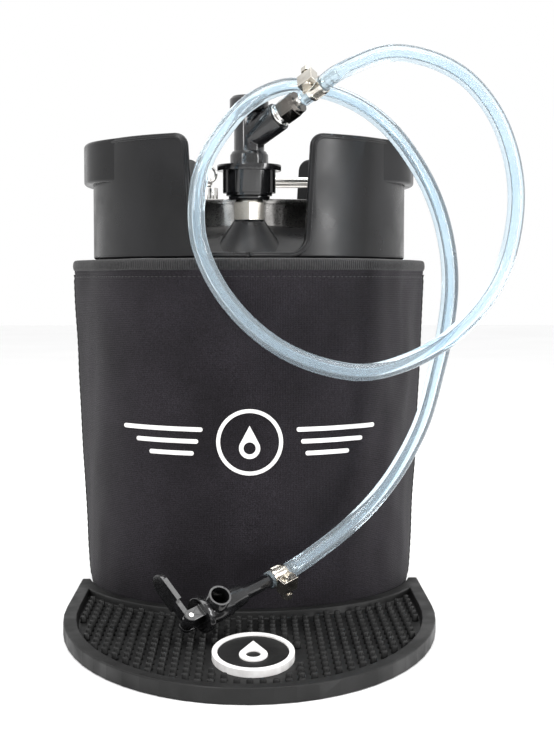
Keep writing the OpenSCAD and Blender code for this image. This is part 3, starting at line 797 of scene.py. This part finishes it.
def half_wall():
    """One half of the rubber wall, flat, from the middle of the front notch to the back one's."""
    mid = WALL_R - WALL_T / 2
    half = (math.pi / 2 - math.asin(NOTCH_W / 2 / mid)) * mid
    low, top, sill = WALL_FOOT, TOP_HIGH, NOTCH_SILL
    middle = math.pi / 2 * mid
    foot, head = half + 3.5 * MM, half - 1.5 * MM
    outline = rounded_outline([
        (-middle, low, 0), (middle, low, 0), (middle, sill, 0),
        (foot, sill, 11 * MM), (head, top, 9 * MM), (-head, top, 9 * MM),
        (-foot, sill, 11 * MM), (-middle, sill, 0),
    ])
    wall = wrap(flat_panel([outline], WALL_T / 2, 1.6 * MM, 4), arc_at(mid), 3 * MM)
    return wall, outline


def grip_panel():
    """The lip to lift by: it stands proud of the wall and fades into it at both ends."""
    mid = (WALL_R + GRIP_R) / 2 - 1 * MM
    half = math.asin(75 / 112) * mid
    buried = WALL_R - 1.5 * MM

    def place(x, y, z):
        t = min(1.0, max(0.0, (1 - abs(x) / half) / 0.6))
        swell = t * t * (3 - 2 * t)
        return polar(x / mid, buried + (mid + z - buried) * (0.02 + 0.98 * swell), y)
    outline = rounded_outline([
        (-half, GRIP_FOOT, 4 * MM), (half, GRIP_FOOT, 4 * MM),
        (half, TOP_HIGH - 0.2 * MM, 4 * MM), (-half, TOP_HIGH - 0.2 * MM, 4 * MM),
    ])
    return wrap(flat_panel([outline], (GRIP_R - WALL_R) / 2 + 1 * MM, 2.4 * MM, 5), place, 3 * MM)


def edge_bead(outline, side):
    """Rolled bead that follows the wall's rim and notch edges on the outside."""
    mid = WALL_R - WALL_T / 2
    inset = 2.6 * MM
    points = [p for p in outline if p.y > NOTCH_SILL - 1 * MM]
    path = []
    for i, p in enumerate(points):
        ahead = points[min(i + 1, len(points) - 1)] - points[max(i - 1, 0)]
        inward = Vector((-ahead.y, ahead.x)).normalized() * inset
        path.append(p + inward)
    dense = []
    for a, b in zip(path, path[1:]):
        count = max(1, int((b - a).length / (3 * MM)))
        dense += [a.lerp(b, k / count) for k in range(count)]
    dense.append(path[-1])
    centre = [polar(p.x / mid + side, WALL_R - 0.35 * MM, p.y) for p in dense]
    around = 8
    rings = []
    for p, (_, u, v) in zip(centre, carried_sides(centre)):
        rings += [p + (u * math.cos(q) + v * math.sin(q)) * 1.15 * MM
                  for q in [2 * math.pi * n / around for n in range(around)]]
    faces = ring_faces(len(centre), around)
    last = (len(centre) - 1) * around
    return rings, faces + [tuple(range(around)), tuple(last + n for n in range(around - 1, -1, -1))]


def dome_z(x):
    """Height of the steel dome's crown at a distance x from the axis."""
    knuckle, sweep, shell_r, shoulder = 20 * MM, math.radians(60), 111 * MM, 222 * MM
    crown_x = shell_r - knuckle + knuckle * math.cos(sweep)
    crown_r = crown_x / math.cos(sweep)
    if x > crown_x:
        return shoulder + math.sqrt(max(0, knuckle**2 - (x - shell_r + knuckle) ** 2))
    return shoulder + (knuckle - crown_r) * math.sin(sweep) + math.sqrt(crown_r**2 - x * x)


def collar_gap(angle):
    """Distance from the axis to the steel collar's oval side at this angle."""
    half, r = 12 * MM, 44.3 * MM
    c, s = abs(math.cos(angle)), abs(math.sin(angle))
    if c < 1e-6 or r / s * c < half if s > 1e-6 else False:
        return r / s
    return half * c + math.sqrt(max(0.0, r * r - (half * s) ** 2))


def deck():
    """Rubber skin that lies on the dome, from the lid collar out to the wall."""
    around, steps = 160, 22
    outer = WALL_R - 1.7 * MM
    ledge = 243 * MM
    vertices = []
    for i in range(around):
        a = 2 * math.pi * i / around
        near = collar_gap(a)
        for k in range(steps + 1):
            x = near + (outer - near) * k / steps
            vertices.append(polar(a, x, max(dome_z(x) + 4 * MM, ledge)))
        for k in range(steps, -1, -1):
            x = near + (outer - near) * k / steps
            vertices.append(polar(a, x, dome_z(x) + 0.1 * MM))
    return vertices, ring_faces(around, 2 * steps + 2, True)


def boss(side):
    """Rubber cone round a post, flared where it meets the deck."""
    top, foot = CONE_TOP, 242 * MM
    profile = []
    for k in range(15):
        t = k / 14
        z = top - (top - foot) * t
        profile.append((10.5 * MM + 20 * MM * (0.8 * t + 0.2 * t**3), z))
    profile.insert(0, (9.6 * MM, top + 0.35 * MM))
    profile += [(7.4 * MM, foot), (7.4 * MM, top + 0.2 * MM)]
    return lathe(profile, 64, (0, side * POST_Y))


def make_rubber_top():
    work = bmesh.new()
    wall, outline = half_wall()
    parts = [wall, grip_panel()]
    for side in (0.0, math.pi):
        for part in parts:
            turned_part = part.copy()
            turned_part.transform(Matrix.Rotation(side, 4, "Z"))
            work.from_mesh(turned_part)
    beads = [edge_bead(outline, side) for side in (0.0, math.pi)]
    vertices, faces = joined(deck(), boss(-1), boss(1), *beads)
    rest = bpy.data.meshes.new("rest")
    rest.from_pydata([tuple(v) for v in vertices], [], faces)
    work.from_mesh(rest)
    mesh = bpy.data.meshes.new("rubber_top")
    work.to_mesh(mesh)
    work.free()
    top = link_data("rubber_top_moulding", mesh, RUBBER)
    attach(top, "keg")
    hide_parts("top_grip")
    return top


# ---------- drip mat ----------


def mat_inside(x, y, margin):
    """True where a point lies on the mat's sunken floor, at least margin from its rim."""
    rim = 9 * MM + margin
    mid_y = -110 * MM
    a = MAT_HIGH.x - rim
    b = mid_y - MAT_LOW.y - rim
    if abs(x) > a or math.hypot(x, y) < SLEEVE_R + 1 * MM + rim:
        return False
    return y > mid_y or (x / a) ** 2 + ((y - mid_y) / b) ** 2 < 1


def badge_near(x, y, rx, ry):
    """True in the clear oval round the badge, which is longer towards the front."""
    return (x / rx) ** 2 + (y / (ry + (9 * MM if y < 0 else 0))) ** 2 < 1


def make_nubs():
    """Rows of round rubber studs that hold a glass above the drips."""
    badge_low, badge_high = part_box("mat_badge")
    cx, cy = (badge_low.x + badge_high.x) / 2, (badge_low.y + badge_high.y) / 2
    rx, ry = (badge_high.x - badge_low.x) / 2 + 3.6 * MM, (badge_high.y - badge_low.y) / 2 + 4.5 * MM
    pitch_x, pitch_y = 7.2 * MM, 11 * MM
    tall = MAT_HIGH.z - 0.5 * MM - MAT_FLOOR
    profile = [(2.3, 0.0), (2.05, 0.3), (1.95, 0.86), (1.6, 0.97), (0.9, 1.0)]
    around = 12
    vertices, faces = [], []
    for i in range(-17, 18):
        for j in range(40):
            x, y = i * pitch_x, -24 * MM - j * pitch_y
            if not mat_inside(x, y, 3.4 * MM) or badge_near(x - cx, y - cy, rx, ry):
                continue
            first = len(vertices)
            for r, h in profile:
                foot = Vector((x, y, MAT_FLOOR - 0.1 * MM + h * tall))
                vertices += [foot + polar(2 * math.pi * n / around, r * MM, 0) for n in range(around)]
            faces += [tuple(first + n for n in f) for f in ring_faces(len(profile), around)]
            last = first + (len(profile) - 1) * around
            faces.append(tuple(first + n for n in range(around - 1, -1, -1)))
            faces.append(tuple(last + n for n in range(around)))
    nubs = link_mesh("mat_studs", vertices, faces, MAT_RUBBER)
    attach(nubs, "keg")
    return nubs


def make_badge():
    """White oval badge moulded on the mat: a rim, and a drop on a dark ground."""
    low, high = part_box("mat_badge")
    cx, cy = (low.x + high.x) / 2, (low.y + high.y) / 2
    rx, ry = (high.x - low.x) / 2, (high.y - low.y) / 2
    rim_w = 3.2 * MM
    stretch = ry / rx

    def panel(name, outlines, z_low, z_high, finish):
        half = (z_high - z_low) / 2

        def place(x, y, z):
            return Vector((cx + x, cy + y, z_low + half + z))
        mesh = wrap(flat_panel(outlines, half, 0.4 * MM, 3), place, 6 * MM)
        piece = link_data(name, mesh, finish, smooth=False)
        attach(piece, "keg")
        return piece

    ground = panel("badge_ground", [ellipse(0, 0, rx - 1 * MM, ry - 1 * MM)],
                   MAT_FLOOR - 0.1 * MM, high.z - 1.1 * MM, MAT_RUBBER)
    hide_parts("mat_badge")
    drop = [Vector((p.x, p.y * stretch)) for p in drop_outline(-4 * MM, 8.4 * MM, 13 * MM)]
    eye = ellipse(0, -4 * MM * stretch, 4.4 * MM, 4.4 * MM * stretch)
    rim = [ellipse(0, 0, rx, ry), ellipse(0, 0, rx - rim_w, ry - rim_w * stretch)]
    panel("badge_rim", rim, MAT_FLOOR, high.z, WHITE_RUBBER)
    panel("badge_drop", [drop, eye], MAT_FLOOR, high.z, WHITE_RUBBER)


# ---------- setting ----------


def make_floor():
    f = Finish("pale_floor")
    f.paint("Base Color", f.ramp(f.noise(3), (0.93, 0.93, 0.93), (0.95, 0.95, 0.95)))
    f.paint("Roughness", f.ramp(f.noise(5), 0.75, 0.85))
    size = 6
    corners = [(-size, -size, 0), (size, -size, 0), (size, size, 0), (-size, size, 0)]
    floor = link_mesh("floor", [Vector(c) for c in corners], [(0, 1, 2, 3)], f.material, smooth=False)
    floor.location.z = -0.0002


def area_light(name, place, target, width, height, power, tint=(1, 1, 1)):
    data = bpy.data.lights.new(name, "AREA")
    data.shape = "RECTANGLE"
    data.size, data.size_y = width, height
    data.energy = power
    data.color = tint
    light = bpy.data.objects.new(name, data)
    light.location = place
    light.rotation_euler = (Vector(target) - Vector(place)).to_track_quat("-Z", "Y").to_euler()
    bpy.context.scene.collection.objects.link(light)


def make_lights():
    world = bpy.data.worlds.new("studio")
    world.use_nodes = True
    world.node_tree.nodes["Background"].inputs["Color"].default_value = (1, 1, 1, 1)
    world.node_tree.nodes["Background"].inputs["Strength"].default_value = 1.0
    bpy.context.scene.world = world
    bpy.context.scene.view_settings.view_transform = "Standard"
    area_light("key", (-0.9, -1.3, 1.3), (0, 0, 0.15), 0.7, 0.7, 18)
    area_light("strip_right", (1.1, -0.75, 0.5), (0, 0, 0.2), 0.25, 1.1, 12)
    area_light("overhead", (0.1, -0.2, 1.6), (0, -0.05, 0.2), 1.0, 1.0, 14)


def main():
    make_camera()
    finish_cad_nodes()
    hose, path, total = make_hose()
    upper = make_band("upper_clamp_strip", "upper_clamp_band", UPPER_FRAME, 21 * MM, 6 * MM)
    lower = make_band("lower_clamp_strip", "lower_clamp_band", LOWER_FRAME, 13 * MM, 1.5 * MM)
    declare_hose(hose, path, total)
    sleeve, flat = make_sleeve()
    make_binding()
    make_stitches()
    make_seams()
    make_emblem()
    make_rubber_top()
    make_nubs()
    make_badge()
    make_floor()
    make_lights()


main()
